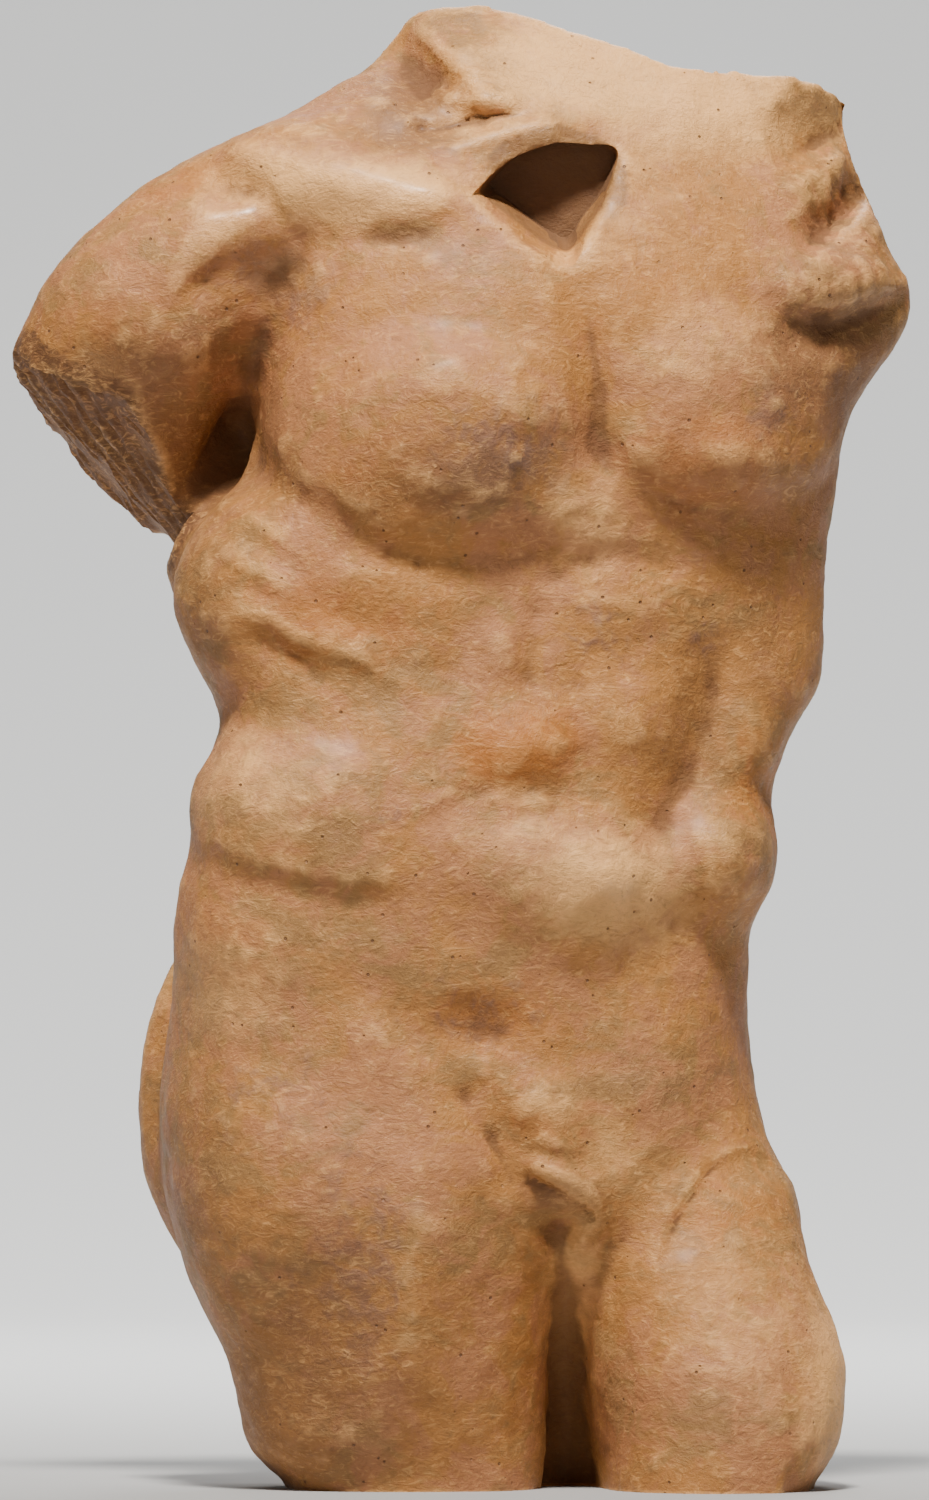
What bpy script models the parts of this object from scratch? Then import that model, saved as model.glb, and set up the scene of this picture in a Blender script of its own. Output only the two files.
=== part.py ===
"""A male torso fragment: broken neck, one upper arm cut off, the other shoulder broken away, thighs cut flat.

Metres, +Z up. The front of the figure looks along -Y, and the flat cut under the thighs lies on z = 0.
The block is built the way a modeller works in clay: lofted masses for the trunk, the thighs and the arm
are fused, then named strokes lay on or press in the forms, and the breaks are cut last.
"""

import math

import bmesh
import bpy
import numpy as np
from mathutils import Vector, noise

# Driving sizes, in metres.
HEIGHT = 0.900  # flat cut under the thighs to the highest point of the broken neck
CLAY_GRAIN = 0.0052  # size of the cells in which the masses are fused
NOTCH_DEPTH = 0.036  # how far the broken hole at the pit of the neck goes in
BREAK_ROUGHNESS = 0.005  # how far the broken faces stand above and below their planes

# The figure is squared up like a carver's pointing grid, 1480 squares tall: x runs to the viewer's right
# from the middle of the width, z runs up from the base. Every proportion below is in these squares.
SQUARES_TALL = 1480
SQUARE = HEIGHT / SQUARES_TALL

# The eye that the front is set out from stands this many squares off and this many up.
EYE_DISTANCE = 11500
EYE_HEIGHT = 430

FACE_BUDGET = 8000  # triangles left after the fused clay is simplified, before the breaks are cut

STONE_COLOUR = (0.46, 0.25, 0.125, 1.0)
STONE_ROUGHNESS = 0.55

# Level above the base, left and right edge, front and back edge of the trunk.
TRUNK = (
    (-30, 20, 190, 70, 130),  # web between the thighs, set back at the cut
    (61, 0, 200, 40, 140),
    (141, -40, 225, -12, 150),
    (191, -120, 250, -72, 156),
    (231, -203, 277, -122, 163),
    (281, -262, 316, -155, 215),
    (331, -292, 311, -166, 237),
    (381, -300, 302, -168, 246),
    (451, -290, 291, -168, 237),
    (526, -285, 291, -172, 207),
    (556, -284, 291, -175, 192),  # notch under the hip roll, right
    (601, -277, 316, -183, 175),
    (636, -266, 321, -186, 166),  # notch under the hip roll, left
    (671, -269, 316, -183, 160),
    (701, -265, 314, -179, 157),
    (736, -246, 326, -173, 157),
    (769, -236, 341, -169, 160),  # waist
    (801, -253, 362, -167, 167),
    (851, -279, 365, -170, 180),
    (901, -286, 368, -175, 194),
    (951, -266, 373, -178, 204),
    (1011, -218, 382, -180, 213),
    (1061, -206, 388, -179, 217),  # chest
    (1101, -202, 408, -175, 220),
    (1141, -194, 438, -167, 222),
    (1181, -186, 458, -160, 219),  # broken shoulder, widest
    (1206, -182, 457, -154, 217),
    (1241, -186, 432, -145, 213),
    (1281, -216, 424, -136, 206),
    (1311, -250, 411, -127, 200),
    (1341, -240, 394, -114, 196),  # pit of the neck
    (1371, -174, 392, -92, 190),
    (1401, -124, 396, -62, 184),
    (1431, -82, 404, -36, 180),
    (1461, -59, 404, -10, 176),
    (1500, -34, 400, 20, 170),  # cut back to the broken neck
)
TRUNK_TURN = 20  # degrees that the front of the trunk faces towards the viewer's right

# The broad muscle behind the armpit and the buttock that shows past the hip, both on the figure's right.
RIGHT_FLANK = (
    (781, -232, 20, -20, 84),
    (831, -266, 20, -44, 122),
    (901, -289, 20, -52, 152),
    (951, -301, 20, -36, 168),
    (981, -306, 20, -8, 176),
    (1011, -308, 20, 18, 182),
    (1061, -308, 20, 34, 190),
    (1141, -299, 20, 38, 194),
    (1206, -282, 20, 32, 176),
    (1261, -252, 20, 26, 146),
    (1311, -206, 20, 26, 110),
)
RIGHT_BUTTOCK = (
    (181, -236, 0, 60, 158),
    (241, -289, 0, 52, 192),
    (291, -312, 0, 48, 208),
    (341, -322, 0, 48, 216),
    (391, -325, 0, 50, 216),
    (441, -318, 0, 56, 206),
    (491, -304, 0, 66, 184),
    (531, -287, 0, 78, 156),
    (561, -264, 0, 88, 130),
)
FLANK_TURN = 10

RIGHT_THIGH = (
    (-30, -146, 70, -88, 132),
    (6, -172, 80, -98, 140),
    (31, -202, 85, -110, 144),
    (91, -222, 88, -128, 155),
    (141, -238, 92, -143, 170),
    (191, -262, 97, -157, 185),
    (241, -281, 100, -170, 205),
    (291, -294, 89, -179, 225),
    (341, -300, 74, -178, 235),
    (391, -300, 52, -168, 235),
    (441, -288, 22, -150, 220),
    (491, -265, -20, -110, 180),
)
LEFT_THIGH = (
    (-30, 142, 336, -142, 180),
    (6, 139, 352, -146, 188),
    (31, 135, 372, -147, 192),
    (91, 126, 386, -143, 196),
    (141, 117, 381, -134, 200),
    (191, 108, 364, -120, 204),
    (241, 100, 346, -104, 208),
    (271, 95, 340, -94, 212),
    (301, 90, 336, -82, 216),
    (331, 94, 317, -66, 224),
    (381, 110, 298, -46, 226),
    (431, 140, 280, -10, 205),
    (481, 170, 250, 20, 160),
)
THIGH_TURN = 8

# Centre of the upper arm from the collar to past the cut, with its half width and half depth.
UPPER_ARM = (
    (-108, 25, 1274, 72, 85),
    (-188, 18, 1249, 107, 105),
    (-258, 10, 1209, 107, 114),
    (-313, 20, 1149, 116, 118),
    (-348, 48, 1089, 113, 114),
    (-372, 70, 1030, 118, 108),
    (-390, 84, 982, 119, 102),
)
ARM_CUT = (-366, 62, 1035)  # middle of the broken face of the arm
ARM_CUT_LEAN = 10  # degrees that the broken face looks towards the front
ARM_CUT_BEND = 0.27  # how much further its front half falls back into the arm, for each square forward
ARM_CUT_FALL = 47  # degrees that its long axis falls towards the body
ARM_CUT_HALF = (130, 130)  # half length and half depth of the bite that makes it

# The broken edge that shows at the top of the neck and shoulder, from the throat side.
NECK_BREAK = (
    (-120, 30, 1478),
    (-33, 24, 1482),
    (42, 8, 1475),
    (92, -8, 1466),
    (142, -16, 1450),
    (192, -20, 1435),
    (242, -14, 1424),
    (300, 2, 1424),
    (352, 34, 1420),
    (390, 70, 1411),
    (460, 110, 1385),
)
NECK_BREAK_FALL = 0.4  # how fast the broken neck drops towards the back

# Outline of the hole at the pit of the neck.
NOTCH = (
    (23, 1295), (40, 1314), (59, 1327), (87, 1337), (103, 1340), (131, 1338), (155, 1337), (163, 1327),
    (155, 1302), (142, 1277), (125, 1255), (111, 1234), (95, 1237), (68, 1255), (46, 1273), (26, 1287),
)
ARM_RING_GAP = 6  # squares between rings along the arm
RING_POINTS = 96
RING_GAP = 8  # squares between rings up a loft
SQUARENESS = 2.35  # 2 is an ellipse, more is boxier

# Broken edges of the left shoulder, upper ones first: path, width of the edge, reach of the faces
# beside it, how far it stands out above and how far the face below it sinks.
SHOULDER_EDGES = (
    (((296, 1364), (330, 1382), (356, 1396), (384, 1412)), 9, 44, 3, 18),
    (((332, 1262), (352, 1283), (376, 1307), (404, 1334)), 10, 26, 6, 22),
    (((286, 1190), (330, 1182), (356, 1179), (385, 1181), (417, 1194), (470, 1214)), 11, 42, 7, 17),
)

# Directions from which strokes are laid on, from the surface towards the hand.
FRONT = Vector((0, -1, 0))
BACK = Vector((0, 1, 0))


def clear_scene():
    for old in list(bpy.data.objects):
        bpy.data.objects.remove(old)


def through(stations, at):
    """Smooth curve through the stations' rows, read at the first column's values."""
    rows = np.array(stations, float)
    levels = rows[:, 0]
    slopes = np.gradient(rows, levels, axis=0)
    i = np.clip(np.searchsorted(levels, at) - 1, 0, len(levels) - 2)
    span = (levels[i + 1] - levels[i])[:, None]
    t = (at - levels[i])[:, None] / span
    start, end = rows[i], rows[i + 1]
    leave, arrive = slopes[i] * span, slopes[i + 1] * span
    return (
        (2 * t**3 - 3 * t**2 + 1) * start
        + (t**3 - 2 * t**2 + t) * leave
        + (3 * t**2 - 2 * t**3) * end
        + (t**3 - t**2) * arrive
    )


def level_ring(left, right, front, back, turn):
    """Closed outline of one level: a rounded box, turned, then stretched to its four edges."""
    angle = np.linspace(0, 2 * math.pi, RING_POINTS, endpoint=False)
    power = 2 / SQUARENESS
    x = np.sign(np.cos(angle)) * np.abs(np.cos(angle)) ** power * (right - left) / 2
    y = np.sign(np.sin(angle)) * np.abs(np.sin(angle)) ** power * (back - front) / 2
    c, s = math.cos(math.radians(turn)), math.sin(math.radians(turn))
    x, y = x * c - y * s, x * s + y * c
    x = np.interp(x, (x.min(), x.max()), (left, right))
    y = np.interp(y, (y.min(), y.max()), (front, back))
    return x, y


def skin(name, rings):
    """Closed mesh through rings of equal length, with a fan over each end."""
    form = bmesh.new()
    loops = [[form.verts.new(point) for point in ring] for ring in rings]
    for low, high in zip(loops, loops[1:]):
        for i, corner in enumerate(low):
            form.faces.new((corner, low[i - 1], high[i - 1], high[i]))
    form.faces.new(loops[0])
    form.faces.new(reversed(loops[-1]))
    bmesh.ops.recalc_face_normals(form, faces=form.faces)
    mesh = bpy.data.meshes.new(name)
    form.to_mesh(mesh)
    form.free()
    body = bpy.data.objects.new(name, mesh)
    bpy.context.scene.collection.objects.link(body)
    return body


def upright_mass(name, stations, turn):
    """A mass whose sections are level, such as the trunk or a thigh."""
    levels = np.arange(stations[0][0], stations[-1][0] + RING_GAP, RING_GAP)
    levels = np.minimum(levels, stations[-1][0])
    rings = []
    for level, left, right, front, back in through(stations, np.unique(levels)):
        x, y = level_ring(left, right, front, back, turn)
        rings.append([(px * SQUARE, py * SQUARE, level * SQUARE) for px, py in zip(x, y)])
    return skin(name, rings)


def limb_mass(name, stations):
    """A mass whose sections stand square to its own line, such as the upper arm."""
    line = np.array(stations, float)
    steps = np.linalg.norm(np.diff(line[:, :3], axis=0), axis=1)
    along = np.concatenate(([0], np.cumsum(steps)))
    rows = np.column_stack((along, line))
    at = np.arange(0, along[-1], ARM_RING_GAP)
    places = through(rows, at)[:, 1:]
    heading = np.gradient(places[:, :3], axis=0)
    angle = np.linspace(0, 2 * math.pi, RING_POINTS, endpoint=False)
    rings = []
    for (x, y, z, half_width, half_depth), way in zip(places, heading):
        across = Vector((way[2], 0, -way[0])).normalized()
        ring = []
        for a in angle:
            out = across * (half_width * math.cos(a)) + Vector((0, half_depth * math.sin(a), 0))
            ring.append((Vector((x, y, z)) + out) * SQUARE)
        rings.append(ring)
    return skin(name, rings)


def fuse(name, masses):
    """One skin round all the masses, in even cells, softened where they meet."""
    together = bmesh.new()
    for mass in masses:
        together.from_mesh(mass.data)
        bpy.data.objects.remove(mass)
    mesh = bpy.data.meshes.new(name)
    together.to_mesh(mesh)
    together.free()
    body = bpy.data.objects.new(name, mesh)
    bpy.context.scene.collection.objects.link(body)
    remesh = body.modifiers.new("fuse", "REMESH")
    remesh.mode = "VOXEL"
    remesh.voxel_size = CLAY_GRAIN
    soften = body.modifiers.new("soften", "SMOOTH")
    soften.factor = 0.5
    soften.iterations = 14
    settle(body)
    return body


def settle(body):
    """Applies the modifiers of a body to its own mesh."""
    depsgraph = bpy.context.evaluated_depsgraph_get()
    made = bpy.data.meshes.new_from_object(body.evaluated_get(depsgraph))
    body.modifiers.clear()
    body.data = made


class Clay:
    """The fused block while it is modelled. Places and sizes of strokes are in squares."""

    def __init__(self, body):
        self.mesh = body.data
        count = len(self.mesh.vertices)
        self.points = np.empty(count * 3)
        self.mesh.vertices.foreach_get("co", self.points)
        self.points = self.points.reshape(-1, 3) / SQUARE
        self.read_normals()

    def read_normals(self):
        self.mesh.vertices.foreach_set("co", (self.points * SQUARE).ravel())
        self.mesh.update()
        normals = np.empty(len(self.points) * 3)
        self.mesh.vertex_normals.foreach_get("vector", normals)
        self.normals = normals.reshape(-1, 3)

    def seen_from(self, view):
        """Flat coordinates as the eye sees them from the front, and how squarely each point faces a view."""
        facing = np.clip((self.normals @ np.array(view) + 0.1) / 0.5, 0, 1)
        away = 1 + self.points[:, 1:2] / EYE_DISTANCE
        return (self.points[:, ::2] - (0, EYE_HEIGHT)) / away + (0, EYE_HEIGHT), facing

    def move(self, view, amount):
        """Moves points by an amount, half along their own normal and half towards the hand."""
        way = self.normals + np.array(view)
        way /= np.maximum(np.linalg.norm(way, axis=1, keepdims=True), 0.2)
        self.points += way * amount[:, None]
        self.read_normals()

    def dome(self, view, at, size, height, tilt=0, flat=0.0):
        """Lays on a rounded pad, or presses one in where the height is negative."""
        place, facing = self.seen_from(view)
        c, s = math.cos(math.radians(tilt)), math.sin(math.radians(tilt))
        off = place - np.array(at)
        along = off[:, 0] * c + off[:, 1] * s
        over = off[:, 1] * c - off[:, 0] * s
        reach = np.hypot(along / size[0], over / size[1])
        rise = np.clip((1 - reach) / (1 - flat), 0, 1)
        self.move(view, height * facing * rise * rise * (3 - 2 * rise))

    def follow(self, place, path):
        """Signed distance of each point from a path, and where along it, from 0 to 1."""
        nodes = np.array(path, float)
        count = len(nodes)
        rows = np.column_stack((np.arange(count), nodes))
        line = through(rows, np.linspace(0, count - 1, count * 6))[:, 1:]
        best = np.full(len(place), np.inf)
        signed = np.zeros(len(place))
        share = np.zeros(len(place))
        for i, (start, end) in enumerate(zip(line, line[1:])):
            way = end - start
            length = max(np.hypot(*way), 1e-6)
            off = place - start
            t = np.clip(off @ way / length**2, 0, 1)
            apart = np.linalg.norm(off - t[:, None] * way, axis=1)
            side = np.sign(way[0] * off[:, 1] - way[1] * off[:, 0])
            closer = apart < best
            best = np.where(closer, apart, best)
            signed = np.where(closer, apart * side, signed)
            share = np.where(closer, (i + t) / (len(line) - 1), share)
        return signed, share

    def ridge(self, view, path, width, height):
        """A rounded rib along a path, or a groove where the height is negative."""
        place, facing = self.seen_from(view)
        signed, share = self.follow(place, path)
        self.move(view, height * facing * run_out(share) * np.exp(-((signed / width) ** 2)))

    def ledge(self, view, path, edge, reach, lift, sink=0.0):
        """An overhanging border: raised on the left of the path's direction, lowered on its right."""
        place, facing = self.seen_from(view)
        signed, share = self.follow(place, path)
        bank = np.clip(np.abs(signed) / edge, 0, 1)
        bank = bank * bank * (3 - 2 * bank) * np.exp(-np.maximum(np.abs(signed) - edge, 0) / reach)
        self.move(view, facing * run_out(share) * bank * np.where(signed > 0, lift, -sink))


def run_out(share):
    """Lets a stroke rise from nothing and die away over a quarter of its length at either end."""
    near_end = np.clip(np.minimum(share, 1 - share) / 0.25, 0, 1)
    return near_end * near_end * (3 - 2 * near_end)


def model_chest(clay):
    """Breasts, breastbone and the hollow of the armpit."""
    clay.dome(FRONT, (-214, 1060), (52, 110), -16, tilt=-6)
    clay.dome(FRONT, (60, 1170), (270, 150), 12, flat=0.2)
    clay.dome(FRONT, (-22, 1062), (172, 122), 27, flat=0.3)
    right_breast = (
        (-120, 1281), (-152, 1201), (-184, 1120), (-196, 1071), (-180, 1019), (-128, 981), (-78, 948),
        (-8, 939), (62, 945), (107, 965), (136, 1011),
    )
    clay.ledge(FRONT, right_breast, 14, 70, 8, 12)
    clay.dome(FRONT, (-10, 1085), (135, 70), 8, flat=0.1)
    clay.dome(FRONT, (268, 1086), (118, 110), 20, flat=0.3)
    left_breast = (
        (136, 1091), (152, 1046), (182, 1011), (232, 988), (302, 984), (352, 1003), (387, 1046), (402, 1091),
    )
    clay.ledge(FRONT, left_breast, 14, 60, 8, 8)
    clay.dome(FRONT, (292, 1022), (88, 40), 7, flat=0.2)
    clay.ridge(FRONT, ((97, 1261), (130, 1151), (142, 1061), (142, 981)), 22, -14)
    clay.dome(FRONT, (122, 962), (56, 46), 6)


def model_ribs(clay):
    """Border of the rib cage and the ribs that show on the figure's right."""
    clay.ridge(FRONT, ((-221, 896), (-174, 866), (-126, 842), (-43, 813)), 15, 7)
    clay.ridge(FRONT, ((-166, 893), (-108, 861), (-38, 843)), 15, -5)
    clay.ridge(FRONT, ((-218, 861), (-168, 831), (-108, 801), (-28, 776)), 17, -6)
    clay.ridge(FRONT, ((-128, 916), (-58, 894), (-8, 886)), 13, 6)
    clay.ridge(FRONT, ((62, 901), (102, 921), (142, 931), (192, 928), (242, 911)), 11, -7)
    clay.ridge(FRONT, ((62, 901), (24, 861), (-6, 811), (-40, 761)), 14, -6)


def model_belly(clay):
    """Straight muscles of the belly with their cross bands, and the round lower belly."""
    clay.dome(FRONT, (165, 876), (88, 44), 9, flat=0.2)
    clay.dome(FRONT, (30, 846), (40, 46), 6)
    clay.dome(FRONT, (175, 776), (62, 58), 7, flat=0.1)
    clay.dome(FRONT, (72, 742), (66, 48), 13, tilt=6, flat=0.2)
    clay.ledge(FRONT, ((-42, 678), (2, 696), (50, 690), (95, 690), (140, 700)), 10, 26, 6, 3)
    clay.ridge(FRONT, ((120, 931), (80, 881), (70, 841), (69, 791), (60, 761)), 8, -6)
    clay.dome(FRONT, (110, 600), (130, 105), 20, flat=0.1)
    clay.dome(FRONT, (46, 670), (8, 8), -4)
    clay.ridge(FRONT, ((245, 871), (256, 811), (238, 731), (206, 671), (204, 591)), 30, -17)


def model_flanks(clay):
    """Rolls of the obliques over the hips."""
    clay.dome(FRONT, (-170, 700), (140, 80), 11, tilt=-8, flat=0.1)
    clay.ledge(FRONT, ((-310, 660), (-228, 623), (-168, 609), (-108, 598), (-40, 586)), 14, 45, 6, 6)
    clay.dome(FRONT, (272, 626), (62, 84), 20, flat=0.1)
    clay.dome(FRONT, (300, 736), (44, 56), 10)
    clay.dome(FRONT, (-215, 541), (110, 70), 6)


def model_groin(clay):
    """Folds of the groin, the pubis and the worn stump below it."""
    clay.dome(FRONT, (20, 462), (80, 50), -13, tilt=-12)
    clay.ridge(FRONT, ((-118, 541), (-58, 471), (2, 401), (46, 341), (76, 271)), 20, -8)
    clay.dome(FRONT, (215, 430), (95, 120), 12)
    clay.dome(FRONT, (92, 376), (62, 54), 13, flat=0.1)
    clay.dome(FRONT, (104, 316), (62, 24), 20, tilt=-28)
    clay.dome(FRONT, (112, 282), (50, 22), 12, tilt=-30)
    clay.ridge(FRONT, ((34, 356), (64, 346), (98, 334), (132, 306)), 8, -7)
    clay.ridge(FRONT, ((46, 310), (82, 299), (112, 288), (142, 266)), 9, -8)
    clay.ridge(FRONT, ((60, 281), (90, 261), (100, 231)), 14, -14)


def model_thighs(clay):
    """Front planes of the thighs, the hip behind them and the scar on the figure's left one."""
    clay.ridge(FRONT, ((-28, 401), (-23, 311), (-33, 241), (-48, 141), (-43, 21)), 40, 9)
    clay.dome(FRONT, (-140, 161), (80, 150), -9)
    clay.ridge(FRONT, ((106, 300), (104, 230), (104, 120), (102, -60)), 14, -12)
    clay.dome(FRONT, (262, 121), (95, 110), 8)
    scar = ((202, 201), (207, 251), (232, 296), (262, 326), (302, 331), (342, 261))
    clay.ledge(FRONT, scar, 6, 30, 2, 5)


def model_shoulders(clay):
    """Collar bone, shoulder cap and the hollow of the neck."""
    clay.dome(FRONT, (-68, 1356), (85, 42), -17)
    clay.dome(FRONT, (-178, 1262), (62, 48), 16)
    clay.dome(FRONT, (-158, 1222), (44, 36), 12)
    clay.ridge(FRONT, ((-218, 1291), (-128, 1303), (-58, 1293), (26, 1279)), 26, 12)
    clay.ledge(FRONT, ((-300, 1186), (-256, 1222), (-200, 1232), (-132, 1228)), 16, 46, 3, 13)
    clay.ridge(FRONT, ((-108, 1250), (-58, 1248), (2, 1258)), 16, -6)
    clay.ridge(FRONT, ((-288, 1256), (-223, 1263), (-188, 1276)), 22, 8)
    neck_border = ((-64, 1480), (-44, 1449), (-22, 1427), (12, 1393), (42, 1371), (96, 1369))
    clay.dome(FRONT, (-30, 1398), (52, 44), -8)
    clay.ledge(FRONT, neck_border, 15, 60, 5, 16)
    clay.dome(FRONT, (-10, 1386), (28, 13), 10, tilt=-15)
    clay.ridge(FRONT, ((-43, 1357), (-8, 1361), (42, 1369), (87, 1371)), 9, -10)
    clay.ridge(FRONT, ((2, 1336), (52, 1352), (112, 1354)), 14, 8)


def model_torn_shoulder(clay):
    """Broken faces where the left arm was, and the lip over the hollow below them."""
    clay.dome(FRONT, (380, 1212), (78, 32), 10, flat=0.3)
    for path, edge, reach, lift, sink in SHOULDER_EDGES:
        clay.ledge(FRONT, path, edge, reach, lift, sink)
    clay.dome(FRONT, (408, 1262), (15, 22), 12)


def model_back(clay):
    """Spine, shoulder blades, loins and buttocks, kept plainer than the front."""
    spine = ((62, 1331), (52, 1181), (37, 1001), (22, 801), (12, 651), (2, 521))
    clay.ridge(BACK, spine, 20, -22)
    for side in (-1, 1):
        beside = [(x + side * 55, z) for x, z in spine[2:]]
        clay.ridge(BACK, beside, 34, 14)
    clay.dome(BACK, (-125, 1161), (105, 125), 24, tilt=12, flat=0.1)
    clay.dome(BACK, (228, 1181), (105, 125), 26, tilt=-14, flat=0.1)
    clay.ridge(BACK, ((-215, 1071), (-140, 1028), (-60, 1051)), 18, -9)
    clay.ridge(BACK, ((320, 1081), (245, 1038), (165, 1061)), 18, -9)
    clay.dome(BACK, (-155, 371), (158, 150), 30, flat=0.15)
    clay.dome(BACK, (165, 351), (150, 145), 27, flat=0.15)
    clay.ridge(BACK, ((-2, 501), (2, 391), (12, 281), (40, 231)), 16, -36)
    clay.ledge(BACK, ((-290, 246), (-190, 226), (-80, 228), (0, 246)), 18, 55, 6, 9)
    clay.ledge(BACK, ((30, 240), (110, 222), (220, 220), (330, 240)), 18, 55, 6, 9)


def simplify(body):
    """Brings the modelled skin down to the face budget."""
    body.data.update()
    triangles = sum(len(face.vertices) - 2 for face in body.data.polygons)
    thin = body.modifiers.new("simplify", "DECIMATE")
    thin.ratio = FACE_BUDGET / triangles
    settle(body)


def roughness(place, seed):
    """Height of a broken face at a place: large chips with smaller ones on them."""
    spot = Vector(place) / 42 + Vector((seed * 7, 0, 0))
    chips = noise.cell(spot * 0.8) - 0.5
    return (noise.fractal(spot, 0.8, 2.1, 3) + 0.35 * chips) * BREAK_ROUGHNESS / SQUARE


def arm_cutter(cutters):
    """What broke off the arm: a rough disc across it, carried outwards."""
    fall, lean = math.radians(ARM_CUT_FALL), math.radians(ARM_CUT_LEAN)
    along = Vector((math.cos(fall), 0, -math.sin(fall)))
    out = Vector((-math.sin(fall), 0, -math.cos(fall))) * math.cos(lean) + FRONT * math.sin(lean)
    over = out.cross(along)
    rings = []
    for share in np.linspace(0.05, 1, 10):
        ring = []
        for a in np.linspace(0, 2 * math.pi, 36, endpoint=False):
            forward = math.sin(a) * ARM_CUT_HALF[1] * share
            place = Vector(ARM_CUT) + along * (math.cos(a) * ARM_CUT_HALF[0] * share) + over * forward
            fall_back = ARM_CUT_BEND * (forward + math.hypot(forward, 16)) / 2
            ring.append((place + out * (roughness(place, 1) - fall_back)) * SQUARE)
        rings.append(ring)
    rings.append([corner + out * (220 * SQUARE) for corner in rings[-1]])
    return as_cutter(skin("arm_cutter", rings), cutters)


def neck_cutter(cutters):
    """What broke off above the neck: a rough sheet through the visible edge, carried upwards."""
    across = np.arange(NECK_BREAK[0][0], NECK_BREAK[-1][0], 24)
    sheet = []
    for x, edge_y, edge_z in through(NECK_BREAK, across):
        row = []
        for y in np.arange(-260, 330, 24):
            z = edge_z - (y - edge_y) * NECK_BREAK_FALL
            z += roughness((x, y, 0), 4) * min(abs(y - edge_y) / 30, 1)
            row.append(Vector((x, y, z)) * SQUARE)
        top = 1.1 * HEIGHT
        row += [Vector((row[-1].x, row[-1].y, top)), Vector((row[0].x, row[0].y, top))]
        sheet.append(row)
    return as_cutter(skin("neck_cutter", sheet), cutters)


def notch_cutter(cutters):
    """Wedge with the outline of the hole at the pit of the neck, narrower inwards."""
    middle = np.mean(NOTCH, axis=0)
    floor = -112 + NOTCH_DEPTH / SQUARE
    rings = []
    for depth, spread, lift in ((-240, 1.5, -20), (-112, 1.02, 0), (floor, 0.86, 6)):
        away = 1 + depth / EYE_DISTANCE
        ring = [middle + (np.array(corner) - middle) * spread for corner in NOTCH]
        ring = [(x * away, depth, EYE_HEIGHT + (z + lift - EYE_HEIGHT) * away) for x, z in ring]
        rings.append([Vector(corner) * SQUARE for corner in ring])
    return as_cutter(skin("notch_cutter", rings), cutters)


def base_cutter(cutters):
    """Block under the base plane."""
    bpy.ops.mesh.primitive_cube_add(size=2, location=(0, 0, -1))
    cutter = bpy.context.object
    cutter.name = "base_cutter"
    return as_cutter(cutter, cutters)


def as_cutter(cutter, cutters):
    for home in list(cutter.users_collection):
        home.objects.unlink(cutter)
    cutters.objects.link(cutter)
    cutter.hide_render = True
    cutter.display_type = "WIRE"
    return cutter


def cut(body, cutter):
    """Takes the cutter's shape out of the body."""
    bite = body.modifiers.new(cutter.name, "BOOLEAN")
    bite.operation = "DIFFERENCE"
    bite.object = cutter


def stand_on_origin(body, cutters):
    """Moves the figure and its cutters so that the middle of its box stands on the origin."""
    depsgraph = bpy.context.evaluated_depsgraph_get()
    corners = np.array(body.evaluated_get(depsgraph).bound_box)
    low, high = corners.min(axis=0), corners.max(axis=0)
    shift = Vector((-(low[0] + high[0]) / 2, -(low[1] + high[1]) / 2, 0))
    for moved in (body, *cutters.objects):
        moved.location += shift


def stone():
    material = bpy.data.materials.new("patinated_stone")
    material.use_nodes = True
    shader = material.node_tree.nodes["Principled BSDF"]
    shader.inputs["Base Color"].default_value = STONE_COLOUR
    shader.inputs["Roughness"].default_value = STONE_ROUGHNESS
    shader.inputs["Metallic"].default_value = 0.0
    return material


def make_torso():
    figure = bpy.data.collections.new("male_torso")
    cutters = bpy.data.collections.new("cutters")
    bpy.context.scene.collection.children.link(figure)
    bpy.context.scene.collection.children.link(cutters)
    cutters.hide_render = True

    masses = [
        upright_mass("trunk", TRUNK, TRUNK_TURN),
        upright_mass("right_flank", RIGHT_FLANK, FLANK_TURN),
        upright_mass("right_buttock", RIGHT_BUTTOCK, FLANK_TURN),
        upright_mass("right_thigh", RIGHT_THIGH, THIGH_TURN),
        upright_mass("left_thigh", LEFT_THIGH, THIGH_TURN),
        limb_mass("upper_arm", UPPER_ARM),
    ]
    torso = fuse("torso", masses)
    clay = Clay(torso)
    for model in (
        model_back, model_chest, model_ribs, model_belly, model_flanks,
        model_groin, model_thighs, model_shoulders, model_torn_shoulder,
    ):
        model(clay)
    simplify(torso)
    for make_cutter in (arm_cutter, neck_cutter, notch_cutter, base_cutter):
        cut(torso, make_cutter(cutters))
    bpy.context.scene.collection.objects.unlink(torso)
    figure.objects.link(torso)
    stand_on_origin(torso, cutters)
    torso.data.materials.clear()
    torso.data.materials.append(stone())
    torso.data.shade_smooth()
    torso.data.set_sharp_from_angle(angle=math.radians(50))
    return torso


clear_scene()
make_torso()
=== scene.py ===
"""Looks of the male torso fragment: worn relief, crisp breaks and a waxed patina over its solid."""

import math

import bpy
import numpy as np
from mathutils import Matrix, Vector, noise


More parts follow.
